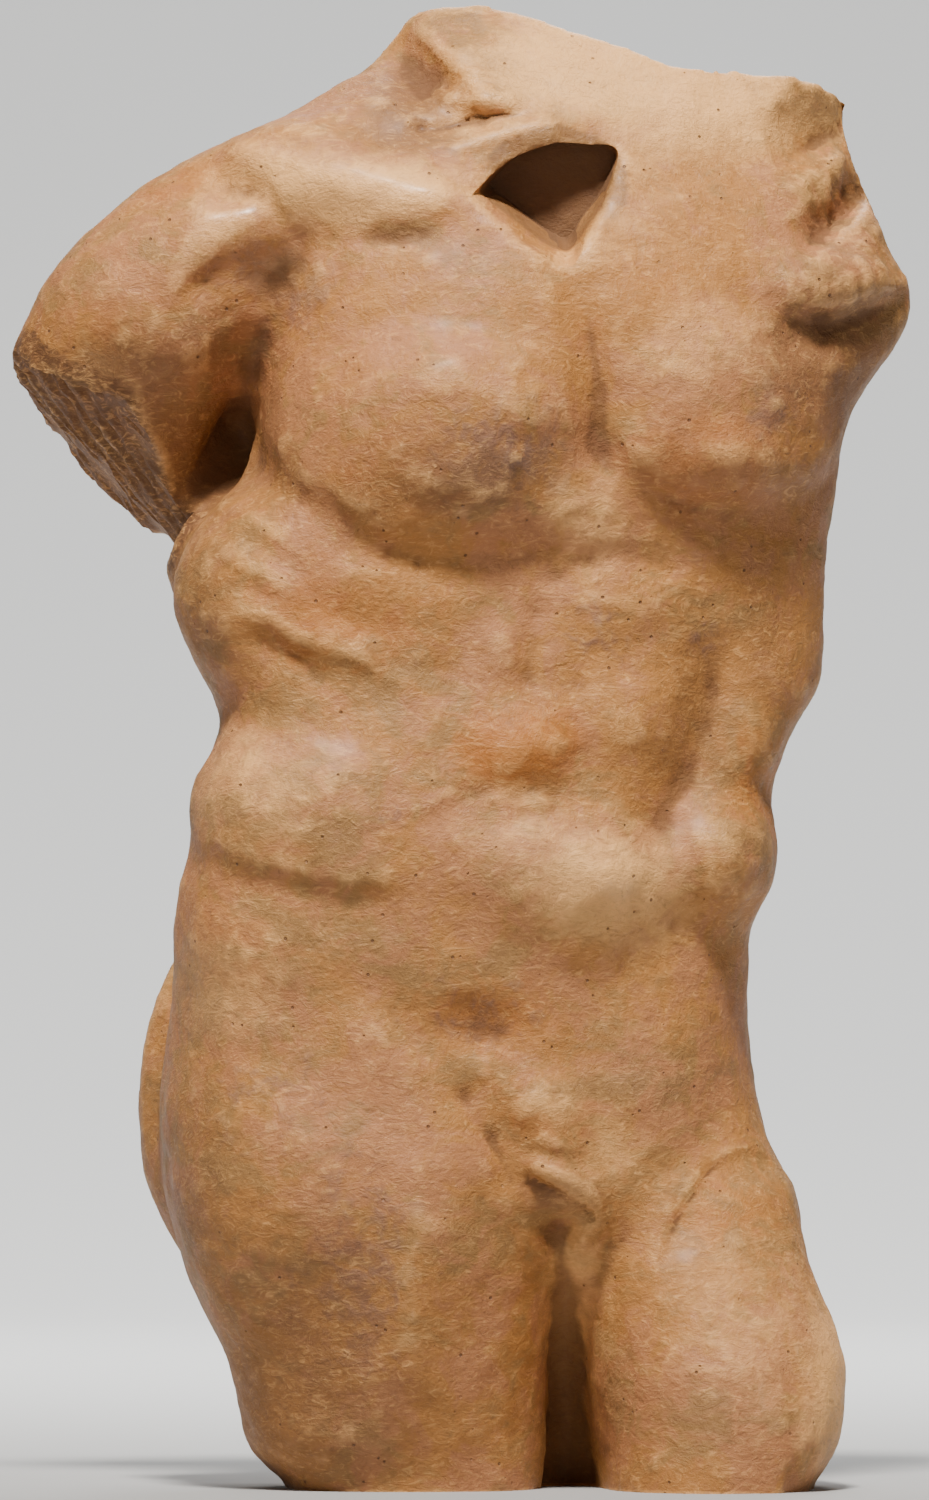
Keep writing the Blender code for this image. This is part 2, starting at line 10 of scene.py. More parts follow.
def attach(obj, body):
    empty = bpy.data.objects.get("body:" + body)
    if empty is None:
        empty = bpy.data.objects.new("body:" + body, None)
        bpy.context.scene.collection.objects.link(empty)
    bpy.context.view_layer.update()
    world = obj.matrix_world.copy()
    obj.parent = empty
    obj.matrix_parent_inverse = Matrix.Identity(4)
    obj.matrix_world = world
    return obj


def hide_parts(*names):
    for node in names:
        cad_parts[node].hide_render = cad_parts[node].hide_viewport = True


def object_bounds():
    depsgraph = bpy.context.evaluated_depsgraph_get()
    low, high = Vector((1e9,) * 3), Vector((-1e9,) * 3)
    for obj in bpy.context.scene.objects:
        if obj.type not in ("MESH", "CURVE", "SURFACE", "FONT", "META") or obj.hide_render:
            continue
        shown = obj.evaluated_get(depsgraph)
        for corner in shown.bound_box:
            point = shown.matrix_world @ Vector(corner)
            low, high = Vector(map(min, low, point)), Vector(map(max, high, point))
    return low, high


bl_info = {
    "name": "Torso fragment",
    "version": (1, 0, 0),
    "blender": (4, 5, 0),
    "location": "3D View > Sidebar > Torso",
    "description": "Carves and patinates the torso fragment on its packed solid, and lights it",
    "category": "Object",
}

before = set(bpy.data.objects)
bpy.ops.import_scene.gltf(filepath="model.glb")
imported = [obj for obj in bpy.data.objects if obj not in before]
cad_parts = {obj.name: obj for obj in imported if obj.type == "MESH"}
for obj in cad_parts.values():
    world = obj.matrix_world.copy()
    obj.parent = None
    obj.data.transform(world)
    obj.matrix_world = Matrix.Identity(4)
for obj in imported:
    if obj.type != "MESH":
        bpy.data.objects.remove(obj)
CAD_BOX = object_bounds()

# The figure is squared up like a carver's pointing grid: x runs to the viewer's right from the middle of
# the width, y to the back, z up from the flat cut, and the figure is this many squares tall. Places and
# sizes on the figure are in squares from here on.
SQUARES_TALL = 1480
SQUARE = (CAD_BOX[1].z - CAD_BOX[0].z) / SQUARES_TALL
MIDDLE_X = 1.4  # the middle of the solid's box
MIDDLE_Y = 24.59
# The eye that the front is set out from stands this many squares off and this many up.
EYE_DISTANCE = 11500
EYE_HEIGHT = 430

FRONT = Vector((0, -1, 0))

# Outline of the hole at the pit of the neck.
NOTCH = (
    (23, 1295), (40, 1314), (59, 1327), (87, 1337), (103, 1340), (131, 1338), (155, 1337), (163, 1327),
    (155, 1302), (142, 1277), (125, 1255), (111, 1234), (95, 1237), (68, 1255), (46, 1273), (26, 1287),
)
NOTCH_FACE = -112  # y of the stone's face round the hole

ARM_CUT = (-366, 62, 1035)  # middle of the broken face of the arm
ARM_CUT_LEAN = 10  # degrees that the broken face looks towards the front
ARM_CUT_BEND = 0.27  # how much further its front half falls back into the arm, for each square forward
ARM_CUT_EASE = 16  # how far from its middle that fall takes to set in
ARM_CUT_FALL = 47  # degrees that its long axis falls towards the body
ARM_CUT_HALF = (132, 132)
ARM_CUT_REACH = 150  # how far from its middle torn stone can lie
# The arm broke in slanting layers, with chips on them.
LAYER_PITCH = 26
LAYER_HEIGHT = 5.0
LAYER_SLANT = 0.35
LAYER_WARP = 14
CHIP_HEIGHT = 3.0

BASE_DROP = 40  # how far the walls run on below the flat cut until they are sawn

# Broken edges of the left shoulder, upper ones first: path, how wide the dark face below it is, how far
# that face drops, and how wide the lit slope is that rises from its foot.
SHOULDER_EDGES = (
    (((290, 1364), (334, 1386), (362, 1401), (396, 1420)), 50, 26, 26),
    (((318, 1254), (352, 1285), (376, 1309), (412, 1346)), 32, 34, 16),
    (((392, 1262), (408, 1282), (430, 1290)), 16, 8, 10),
    (((312, 1182), (356, 1179), (385, 1181), (417, 1195), (466, 1212)), 20, 14, 44),
)


def at_place(x, y, z):
    """A point given in squares, in metres."""
    return Vector((x - MIDDLE_X, y - MIDDLE_Y, z)) * SQUARE


def laid_flat(points):
    """Where the eye sees each point on the sheet through the middle of the figure."""
    away = 1 + points[:, 1:2] / EYE_DISTANCE
    return (points[:, ::2] - (0, EYE_HEIGHT)) / away + (0, EYE_HEIGHT)


def oval(places, middle, reach):
    """How far out each place lies in an oval: 0 in its middle and 1 on its border."""
    off = (places - middle) / reach
    return np.hypot(off[:, 0], off[:, 1])


def through(stations, at):
    """Smooth curve through the stations' rows, read at the first column's values."""
    rows = np.array(stations, float)
    levels = rows[:, 0]
    slopes = np.gradient(rows, levels, axis=0)
    i = np.clip(np.searchsorted(levels, at) - 1, 0, len(levels) - 2)
    span = (levels[i + 1] - levels[i])[:, None]
    t = (at - levels[i])[:, None] / span
    leave, arrive = slopes[i] * span, slopes[i + 1] * span
    return (
        (2 * t**3 - 3 * t**2 + 1) * rows[i]
        + (t**3 - 2 * t**2 + t) * leave
        + (3 * t**2 - 2 * t**3) * rows[i + 1]
        + (t**3 - t**2) * arrive
    )


def run_out(share, over=0.25):
    """Lets a stroke rise from nothing and die away at either end."""
    near_end = np.clip(np.minimum(share, 1 - share) / over, 0, 1)
    return near_end * near_end * (3 - 2 * near_end)


def follow(place, path):
    """Signed distance of each place from a smooth path, and where along it, from 0 to 1."""
    nodes = np.array(path, float)
    count = len(nodes)
    stations = np.column_stack((np.arange(count), nodes))
    line = through(stations, np.linspace(0, count - 1, count * 6))[:, 1:]
    best = np.full(len(place), np.inf)
    signed = np.zeros(len(place))
    share = np.zeros(len(place))
    for i, (start, end) in enumerate(zip(line, line[1:])):
        way = end - start
        off = place - start
        t = np.clip(off @ way / max(way @ way, 1e-9), 0, 1)
        apart = np.linalg.norm(off - t[:, None] * way, axis=1)
        side = np.sign(way[0] * off[:, 1] - way[1] * off[:, 0])
        closer = apart < best
        best = np.where(closer, apart, best)
        signed = np.where(closer, apart * side, signed)
        share = np.where(closer, (i + t) / (len(line) - 1), share)
    return signed, share


class Clay:
    """The fine skin while it is worked. Places and sizes of strokes are in squares."""

    def __init__(self, body):
        self.mesh = body.data
        count = len(self.mesh.vertices)
        self.points = np.empty(count * 3)
        self.mesh.vertices.foreach_get("co", self.points)
        self.points = self.points.reshape(-1, 3) / SQUARE + (MIDDLE_X, MIDDLE_Y, 0)
        ends = np.empty(len(self.mesh.edges) * 2, int)
        self.mesh.edges.foreach_get("vertices", ends)
        self.ends = ends.reshape(-1, 2)
        self.degree = np.bincount(ends, minlength=count)[:, None]
        self.read_normals()

    def read_normals(self):
        """Hands the points back to the mesh and reads which way each one faces."""
        in_metres = (self.points - (MIDDLE_X, MIDDLE_Y, 0)) * SQUARE
        self.mesh.vertices.foreach_set("co", in_metres.ravel())
        self.mesh.update()
        normals = np.empty(len(self.points) * 3)
        self.mesh.vertex_normals.foreach_get("vector", normals)
        self.normals = normals.reshape(-1, 3)

    def neighbour_mean(self, values):
        """Mean of each row's values over the points that an edge joins it to."""
        total = np.zeros_like(values)
        count = len(values)
        for column in range(values.shape[1]):
            for here, there in (self.ends.T, self.ends[:, ::-1].T):
                total[:, column] += np.bincount(here, values[there, column], count)
        return total / self.degree

    def soften(self, rounds):
        """Evens out facets without shrinking the form."""
        for _ in range(rounds):
            for pull in (0.6, -0.62):
                self.points += pull * (self.neighbour_mean(self.points) - self.points)
        self.read_normals()

    def soften_where(self, chosen, rounds):
        """Relaxes the chosen part alone, where strokes have stretched it."""
        for _ in range(rounds):
            mean = self.neighbour_mean(self.points)
            self.points[chosen] += 0.5 * (mean - self.points)[chosen]
        self.read_normals()

    def relax_oval(self, middle, reach, turned, rounds):
        """Relaxes an oval patch of the front, but not where it turns away past the limit."""
        patch = oval(laid_flat(self.points), middle, reach) < 1
        self.soften_where(patch & (self.normals[:, 1] < turned), rounds)

    def standing_proud(self, rounds):
        """How far each point stands out of its smoothed surroundings: below 0 in a crease."""
        smooth = self.points
        for _ in range(rounds):
            smooth = self.neighbour_mean(smooth)
        return ((self.points - smooth) * self.normals).sum(axis=1)

    def seen(self):
        """Where the eye sees each point, and how squarely it faces the front."""
        facing = np.clip((self.normals @ np.array(FRONT) + 0.1) / 0.5, 0, 1)
        return laid_flat(self.points), facing

    def move(self, amount):
        """Moves points by an amount, half along their own normal and half towards the front."""
        way = self.normals + np.array(FRONT)
        way /= np.maximum(np.linalg.norm(way, axis=1, keepdims=True), 0.2)
        self.points += way * amount[:, None]
        self.read_normals()

    def dome(self, at, size, height, flat=0.0):
        """Lays on a rounded pad, or presses one in where the height is negative."""
        place, facing = self.seen()
        rise = np.clip((1 - oval(place, at, size)) / (1 - flat), 0, 1)
        self.move(height * facing * rise * rise * (3 - 2 * rise))

    def ridge(self, path, width, height):
        """A rounded rib along a path, or a groove where the height is negative."""
        place, facing = self.seen()
        signed, share = follow(place, path)
        self.move(height * facing * run_out(share) * np.exp(-((signed / width) ** 2)))

    def ledge(self, path, edge, reach, lift, sink):
        """An overhanging border: raised on the left of the path's direction, lowered on its right."""
        place, facing = self.seen()
        signed, share = follow(place, path)
        bank = np.clip(np.abs(signed) / edge, 0, 1)
        bank = bank * bank * (3 - 2 * bank) * np.exp(-np.maximum(np.abs(signed) - edge, 0) / reach)
        self.move(facing * run_out(share, 0.12) * bank * np.where(signed > 0, lift, -sink))

    def facet(self, path, width, drop, rise):
        """Splits off a flat face on the right of the path, and a slope that rises again beyond it."""
        place, facing = self.seen()
        signed, share = follow(place, path)
        apart = np.maximum(-signed, 0)
        depth = np.minimum(apart / width, np.clip((width + rise - apart) / rise, 0, 1))
        amount = drop * depth * facing * np.clip(share / 0.3, 0, 1)
        self.points -= np.array(FRONT) * amount[:, None]
        self.read_normals()

    def grain(self, size, height, where=1.0, seed=0):
        """Uneven surface left by the hand or by breaking, at a size of lump and a height."""
        shift = Vector((seed * 11.3, seed * 5.7, 0))
        lumps = [noise.fractal(Vector(p) / size + shift, 0.7, 2.0, 3) for p in self.points]
        self.points += self.normals * (np.array(lumps) * height * where)[:, None]
        self.read_normals()


def sharpen_chest(clay):
    """Creases round the breasts, the nipples, the breastbone and the valley beside the arm."""
    right_breast = (
        (-192, 1100), (-194, 1065), (-182, 1022), (-160, 998), (-128, 978), (-78, 948),
        (-8, 938), (62, 945), (107, 965), (134, 1011),
    )
    clay.ridge(right_breast, 14, -1)
    clay.ridge(((146, 1061), (182, 1011), (232, 988), (302, 984), (352, 1001), (380, 1041)), 12, -1)
    clay.dome((57, 1026), (26, 21), 3)
    clay.dome((58, 1027), (9, 8), 4)
    clay.dome((318, 1078), (20, 17), 2.5)
    clay.ridge(((116, 1231), (134, 1151), (142, 1081), (142, 1001)), 10, -2)
    clay.ridge(((88, 968), (122, 978), (160, 966)), 8, 2)
    clay.ridge(((-120, 1190), (-60, 1120), (-30, 1060)), 16, -1.5)
    clay.relax_oval((-194, 1155), (58, 112), 0.5, 40)


def sharpen_ribs(clay):
    """Slips of muscle over the ribs and the border of the rib cage."""
    clay.ridge(((-223, 891), (-128, 841), (-38, 801)), 9, 1)
    for x, z in ((-262, 960), (-250, 905), (-236, 852)):
        clay.ridge(((x, z), (x + 42, z - 10), (x + 88, z - 38), (x + 120, z - 70)), 11, -3)
        clay.ridge(((x + 8, z + 22), (x + 50, z + 12), (x + 96, z - 16)), 10, 2)
    clay.ridge(((-158, 838), (-98, 806), (-48, 786)), 10, -1)
    clay.ridge(((-98, 831), (-48, 818), (-8, 815)), 8, -2)
    clay.ridge(((-148, 921), (-88, 911), (-38, 901)), 10, 2)
    clay.ridge(((92, 916), (152, 946), (222, 938)), 11, 1.5)


def sharpen_belly(clay):
    """Cross bands of the belly, its middle line, the navel and the fold under the waist."""
    clay.ridge(((78, 896), (70, 841), (73, 780)), 8, -1.5)
    clay.ridge(((46, 876), (92, 868), (142, 871), (202, 866)), 8, -1.5)
    clay.ridge(((12, 796), (62, 808), (112, 801), (152, 806)), 9, -2)
    clay.ridge(((-60, 670), (-24, 684), (6, 694)), 8, 3)
    clay.dome((56, 742), (70, 44), 3, flat=0.2)
    clay.ridge(((-10, 684), (36, 698), (76, 696), (126, 702)), 10, -2.5)
    clay.ridge(((22, 684), (62, 681), (97, 686)), 7, 3)
    clay.dome((46, 671), (12, 12), 5)
    clay.dome((152, 604), (48, 42), 6)
    clay.ridge(((242, 861), (254, 806), (240, 741), (212, 681), (202, 601)), 12, -2)


def sharpen_groin(clay):
    """Folds over the pubis and of the worn stump."""
    clay.ridge(((-28, 471), (22, 452), (72, 461)), 16, -2)
    clay.relax_oval((100, 318), (70, 60), 0.3, 14)
    clay.ridge(((66, 352), (98, 342), (128, 330)), 9, 4)
    clay.ridge(((58, 340), (96, 326), (142, 306)), 10, -4)
    clay.ledge(((62, 318), (94, 301), (118, 288), (142, 268)), 5, 14, 3, 6)
    clay.ridge(((21, 363), (36, 339), (51, 312), (60, 291)), 6, -3)
    clay.ridge(((52, 356), (80, 350), (112, 336), (140, 306)), 4, -1.5)
    clay.ridge(((-18, 411), (12, 376), (32, 331), (52, 281)), 9, -1.5)


def sharpen_thighs(clay):
    """Planes of the thighs, the edge of the hip and the scar on the figure's left one."""
    clay.ridge(((-38, 301), (-46, 201), (-50, 101)), 16, 2)
    scar = ((200, 205), (206, 251), (231, 296), (258, 325), (302, 330), (338, 262))
    clay.ledge(scar, 4, 7, 1.2, 1.2)
    clay.ridge([(x + 3, z - 2) for x, z in scar], 3, -2)
    clay.ridge(((222, 171), (238, 141), (270, 121)), 5, -1.5)
    clay.ridge(((-286, 446), (-297, 381), (-295, 301)), 5, -4)


def sharpen_shoulders(clay):
    """Collar bone, broken neck muscles and the torn face of the left shoulder."""
    clay.ridge(((-138, 1300), (-88, 1306), (-38, 1297), (8, 1282)), 14, 2)
    clay.ridge(((-70, 1290), (-20, 1284), (14, 1276), (40, 1262)), 20, 2)
    clay.ridge(((-120, 1252), (-62, 1249), (-12, 1258)), 9, -2)
    clay.ridge(((-258, 1262), (-222, 1268), (-188, 1258)), 12, 2)
    neck_edge = ((-50, 1456), (-22, 1427), (-5, 1410), (12, 1393), (26, 1380), (60, 1371))
    clay.ledge(neck_edge, 4, 22, 1.5, 3)
    clay.ridge(((-40, 1401), (-12, 1387), (16, 1382), (36, 1372)), 6, 4)
    clay.ridge(((-44, 1352), (-8, 1356), (30, 1368), (80, 1370)), 4, -3)
    clay.dome((-39, 1356), (13, 12), -7)
    clay.dome((-48, 1404), (44, 44), -8)
    clay.ridge(((-20, 1330), (34, 1348), (76, 1359), (112, 1352)), 8, 3)
    clay.relax_oval((385, 1300), (90, 125), 0.3, 30)
    clay.dome((328, 1164), (44, 26), 8)
    for path, width, drop, rise in SHOULDER_EDGES:
        clay.facet(path, width, drop, rise)


def roughen(clay):
    """The hand's unevenness all over, and torn stone on the left shoulder and in the neck."""
    clay.grain(80, 2.4, seed=1)
    clay.grain(26, 0.8, seed=2)
    flat = clay.points[:, ::2]
    shoulder = np.clip(1.25 - oval(flat, (385, 1270), (80, 130)), 0, 1)
    neck = np.clip(1.2 - oval(flat, (-5, 1380), (60, 45)), 0, 0.7)
    torn = np.maximum(shoulder, neck) * (clay.normals[:, 1] < 0.3)
    clay.grain(34, 2.2, torn, seed=3)
    clay.grain(15, 1.3, torn, seed=4)
    top_corner = (laid_flat(clay.points) > (352, 1380)).all(axis=1)
    clay.soften_where(top_corner, 6)


STEPS = (
    sharpen_chest, sharpen_ribs, sharpen_belly, sharpen_groin, sharpen_thighs, sharpen_shoulders, roughen,
)


def broken_height(along, over):
    """Height of the arm's broken face at a place on it: layers that rise slowly and drop, and chips."""
    warp = LAYER_WARP * noise.noise(Vector((along / 60, over / 40, 1)))
    layer = (over + LAYER_SLANT * along + warp) / LAYER_PITCH
    step = layer - math.floor(layer)
    layers = LAYER_HEIGHT * (min(step / 0.8, (1 - step) / 0.2) - 0.5)
    chips = CHIP_HEIGHT * noise.fractal(Vector((along / 30, over / 16, 6)), 0.8, 2.1, 4)
    return layers + chips


def fallen_back(forward):
    """How far the arm's broken face falls back into the arm, by how far forward a place on it is."""
    return ARM_CUT_BEND * (forward + np.hypot(forward, ARM_CUT_EASE)) / 2


def skin(name, rings):
    """Closed mesh through rings of as many points each, with one face over each end."""
    size = len(rings[0])
    points = [corner for ring in rings for corner in ring]
    faces = [tuple(range(size)), tuple(range(len(points) - 1, len(points) - 1 - size, -1))]
    for low in range(0, len(points) - size, size):
        for i in range(size):
            after = (i + 1) % size
            faces.append((low + i, low + size + i, low + size + after, low + after))
    mesh = bpy.data.meshes.new(name)
    mesh.from_pydata([tuple(point) for point in points], [], faces)
    body = bpy.data.objects.new(name, mesh)
    bpy.context.scene.collection.objects.link(body)
    select_only(body)
    bpy.ops.object.mode_set(mode="EDIT")
    bpy.ops.mesh.select_all(action="SELECT")
    bpy.ops.mesh.normals_make_consistent(inside=False)
    bpy.ops.object.mode_set(mode="OBJECT")
    return body


def saw_block():
    """Everything below the flat cut under the thighs."""
    bpy.ops.mesh.primitive_cube_add(size=2, location=(0, 0, -1))
    return bpy.context.object


def arm_cut_axes():
    """Long axis of the broken face of the arm, the way it looks, and its other axis."""
    fall, lean = math.radians(ARM_CUT_FALL), math.radians(ARM_CUT_LEAN)
    along = Vector((math.cos(fall), 0, -math.sin(fall)))
    out = Vector((-math.sin(fall), 0, -math.cos(fall))) * math.cos(lean) + FRONT * math.sin(lean)
    return along, out, out.cross(along)


def arm_bite():
    """What broke off the arm: a rough disc across it, carried outwards."""
    along, out, over = arm_cut_axes()
    rings = []
    for share in np.linspace(0.02, 1, 34):
        ring = []
        for a in np.linspace(0, 2 * math.pi, 110, endpoint=False):
            u = math.cos(a) * ARM_CUT_HALF[0] * share
            v = math.sin(a) * ARM_CUT_HALF[1] * share
            height = broken_height(u, v) - 2 - fallen_back(v)
            ring.append(at_place(*(Vector(ARM_CUT) + along * u + over * v + out * height)))
        rings.append(ring)
    rings.append([corner + out * (220 * SQUARE) for corner in rings[-1]])
    return skin("arm_bite", rings)


def rounded(outline):
    """A closed outline with its corners worn."""
    closed = [outline[-1], *outline, outline[0], outline[1]]
    stations = [(i, *corner) for i, corner in enumerate(closed)]
    return through(stations, np.linspace(1, len(outline) + 1, 97)[:-1])[:, 1:]


def notch_bite(depth):
    """The hole at the pit of the neck, narrower inwards."""
    middle = np.mean(NOTCH, axis=0)
    floor = NOTCH_FACE + depth / SQUARE
    rings = []
    for y, spread, lift in ((-240, 1.6, -20), (NOTCH_FACE, 1.03, 0), (floor, 0.88, 6)):
        away = 1 + y / EYE_DISTANCE
        ring = []
        for corner in rounded(NOTCH):
            x, z = middle + (np.array(corner) - middle) * spread
            ring.append(at_place(x * away, y, EYE_HEIGHT + (z + lift - EYE_HEIGHT) * away))
        rings.append(ring)
    return skin("notch_bite", rings)


def select_only(body):
    """Makes one object the selected and active one."""
    bpy.ops.object.select_all(action="DESELECT")
    body.hide_set(False)
    body.select_set(True)
    bpy.context.view_layer.objects.active = body


def apply_modifier(body, kind, **settings):
    """Adds a modifier, sets it and applies it."""
    select_only(body)
    modifier = body.modifiers.new(kind.lower(), kind)
    for name, value in settings.items():
        setattr(modifier, name, value)
    bpy.ops.object.modifier_apply(modifier=modifier.name)


def bite_off(body, bite):
    """Cuts a shape out of the body and throws the shape away."""
    apply_modifier(body, "BOOLEAN", operation="DIFFERENCE", solver="EXACT", object=bite)
    bpy.data.objects.remove(bite)


def merged_copy(node):
    """A copy of a solid with its loose triangles merged."""
    body = node.copy()
    body.data = node.data.copy()
    body.parent = None
    body.name = "torso_skin"
    bpy.context.scene.collection.objects.link(body)
    for mark in [key for key in body.keys() if key.startswith("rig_")]:
        del body[mark]
    select_only(body)
    bpy.ops.object.mode_set(mode="EDIT")
    bpy.ops.mesh.select_all(action="SELECT")
    bpy.ops.mesh.remove_doubles(threshold=0.00002)
    bpy.ops.object.mode_set(mode="OBJECT")
    return body


def keep_mark(body, name, values):
    """Stores one number for each point, for the patina to read."""
    mark = body.data.attributes.new(name, "FLOAT", "POINT")
    mark.data.foreach_set("value", np.asarray(values, np.float32))


# Marks that the patina carries, stains and painted light alike, as place on the front, size, and
# strength. Plum grey ones:
PLUM_STAINS = (
    ((40, 1030), (75, 62), 1.0), ((-160, 1190), (50, 45), 0.8), ((312, 1078), (34, 40), 0.9),
    ((-70, 671), (26, 20), 0.7), ((130, 851), (40, 40), 0.6), ((246, 851), (20, 22), 0.9),
    ((20, 470), (100, 46), 0.6), ((-98, 211), (70, 130), 0.8), ((-190, 1216), (60, 34), 1.0),
    ((-190, 391), (90, 60), 0.5), ((60, 1350), (60, 40), 0.3), ((300, 120), (90, 80), 0.4),
)
# Rusty ochre ones:
OCHRE_STAINS = (
    ((60, 738), (60, 40), 1.7), ((30, 470), (80, 40), 0.9), ((-70, 1000), (120, 60), 0.6),
    ((80, 365), (60, 40), 0.8), ((-130, 860), (110, 60), 0.6), ((230, 1020), (90, 60), 0.7),
    ((-350, 1150), (70, 60), 0.6), ((262, 270), (60, 40), 0.5), ((-230, 520), (60, 80), 0.5),
    ((300, 700), (40, 60), 0.6), ((190, 1180), (100, 60), 0.5), ((-270, 1300), (70, 30), 0.6),
)
# Where the patina is rubbed pale, and painted highlights on forms that face the light, as the top of the
# neck, the collar bones, the lower belly's dome and the lower edge of the thigh on the viewer's right:
PALE_WEAR_AND_PAINTED_LIGHT = (
    ((140, 1420), (110, 62), 1.6), ((230, 1380), (120, 60), 1.2), ((320, 1372), (90, 40), 0.9),
    ((-70, 1296), (90, 26), 1.2), ((400, 120), (60, 130), 1.4), ((405, 50), (50, 70), 1.0),
    ((155, 335), (44, 50), 0.6), ((-170, 1300), (80, 40), 1.0),
    ((-235, 1262), (60, 34), 0.6), ((120, 960), (50, 60), 0.6), ((148, 598), (76, 60), 1.2),
    ((96, 376), (44, 34), 0.6), ((300, 160), (80, 120), 0.5), ((20, 1362), (70, 20), 0.6),
    ((-200, 700), (90, 60), 0.6), ((-235, 500), (60, 70), 0.6), ((242, 1150), (80, 60), 0.5),
    ((-110, 1288), (80, 34), 1.3), ((112, 170), (36, 120), 0.9), ((-180, 1210), (50, 34), 0.6),
    ((80, 640), (110, 50), 0.4), ((150, 1250), (60, 80), 0.4), ((75, 690), (60, 16), 0.6),
    ((100, 560), (120, 120), 0.25),
)
# Broad brown wash: in part where the patina is darker all over, in part painted shade where the form
# turns away from the light, as under the arm, in the armpit, on the flank below the broken shoulder, on
# the lower halves of the breasts, under the fold of the stump and in the neck's hollow:
DARK_WASH_AND_PAINTED_SHADE = (
    ((-330, 1110), (90, 60), 1.1), ((-300, 1020), (90, 80), 1.6), ((-250, 1150), (60, 50), 0.8),
    ((-205, 1030), (36, 70), 0.9), ((-190, 1110), (30, 60), 0.2), ((400, 1110), (50, 110), 1.3),
    ((20, 810), (170, 60), 0.4), ((60, 1260), (40, 60), 0.2), ((330, 1010), (70, 70), 0.7),
    ((0, 1005), (120, 46), 1.0), ((-90, 985), (80, 40), 0.7), ((250, 1010), (110, 40), 0.6),
    ((-150, 120), (120, 170), 0.9), ((-250, 860), (40, 110), 0.7), ((350, 1130), (60, 100), 1.1),
    ((-260, 300), (60, 130), 0.6), ((240, 780), (34, 120), 0.7), ((310, 850), (40, 100), 0.7),
    ((70, 1130), (50, 60), 0.3), ((104, 292), (44, 22), 1.3),
    ((20, 470), (80, 34), 0.6), ((-52, 1382), (46, 42), 1.6), ((-50, 1350), (70, 24), 1.2),
    ((-110, 1390), (40, 40), 0.5), ((-170, 1000), (46, 50), 0.8), ((-275, 935), (80, 50), 0.7),
    ((-60, 1252), (70, 16), 0.6), ((262, 420), (40, 120), 0.3), ((-190, 520), (60, 60), 0.2),
)
# Small spots where the wax is polished up:
POLISHED_SPOTS = (
    ((57, 1027), (22, 18), 1.0), ((157, 606), (26, 26), 1.0), ((-225, 1268), (46, 16), 0.9),
    ((-300, 1160), (30, 34), 0.7), ((238, 926), (14, 12), 0.9), ((78, 690), (22, 10), 0.9),
    ((-70, 1290), (70, 18), 0.7), ((318, 1078), (20, 20), 0.5),
    ((110, 960), (40, 24), 0.4), ((-190, 1215), (70, 16), 0.5), ((240, 262), (12, 40), 0.4),
)


def stained(clay, stains):
    """How strongly a set of oval marks colours each point, stains and painted light alike: fully in
    front, faintly behind.
    """
    total = np.zeros(len(clay.points))
    seen = laid_flat(clay.points)
    for at, size, strength in stains:
        off = (seen - at) / size
        total = np.maximum(total, strength * np.exp(-(off**2).sum(axis=1)))
    return total * np.clip(0.75 - clay.normals[:, 1], 0.15, 1)


def torn_arm(points):
    """1 on the broken face of the arm and 0 off it."""
    _, out, over = arm_cut_axes()
    off = points - ARM_CUT
    height = off @ np.array(out) + fallen_back(off @ np.array(over))
    return np.clip((height + 7) / 4, 0, 1) * (np.linalg.norm(off, axis=1) < ARM_CUT_REACH)


def in_notch(points):
    """1 inside the hole at the pit of the neck and 0 off it."""
    inside = (oval(laid_flat(points), np.mean(NOTCH, axis=0), (74, 62)) < 1) & (points[:, 1] < 0)
    return inside * np.clip((points[:, 1] - NOTCH_FACE + 6) / 14, 0, 1)


def carve(node, sizes):
    """The finished skin: the solid refined, sharpened, broken and marked."""
    body = merged_copy(node)
    for corner in body.data.vertices:
        if corner.co.z < 0.5 * SQUARE:
            corner.co.z -= BASE_DROP * SQUARE
    apply_modifier(body, "REMESH", mode="VOXEL", voxel_size=sizes.grain)
    clay = Clay(body)
    clay.soften(sizes.soften)
    waist = oval(clay.points[:, ::2], (60, 860), (330, 120)) < 1
    clay.soften_where(waist & (clay.normals[:, 1] < 0), 12)
    for work in STEPS:
        work(clay)
    bite_off(body, saw_block())
    bite_off(body, arm_bite())
    bite_off(body, notch_bite(sizes.notch_depth))
    worked = Clay(body)
    marks = {
        "crease": worked.standing_proud(5),
        "hollow": worked.standing_proud(60),
        "plum": stained(worked, PLUM_STAINS),
        "ochre": stained(worked, OCHRE_STAINS),
        "polish": stained(worked, POLISHED_SPOTS),
        "torn": torn_arm(worked.points),
        "deep": in_notch(worked.points),
        "pale": stained(worked, PALE_WEAR_AND_PAINTED_LIGHT),
        "dark": stained(worked, DARK_WASH_AND_PAINTED_SHADE),
    }
    for name, values in marks.items():
        keep_mark(body, name, values)
    select_only(body)
    bpy.ops.object.shade_smooth_by_angle(angle=math.radians(48))
    return body


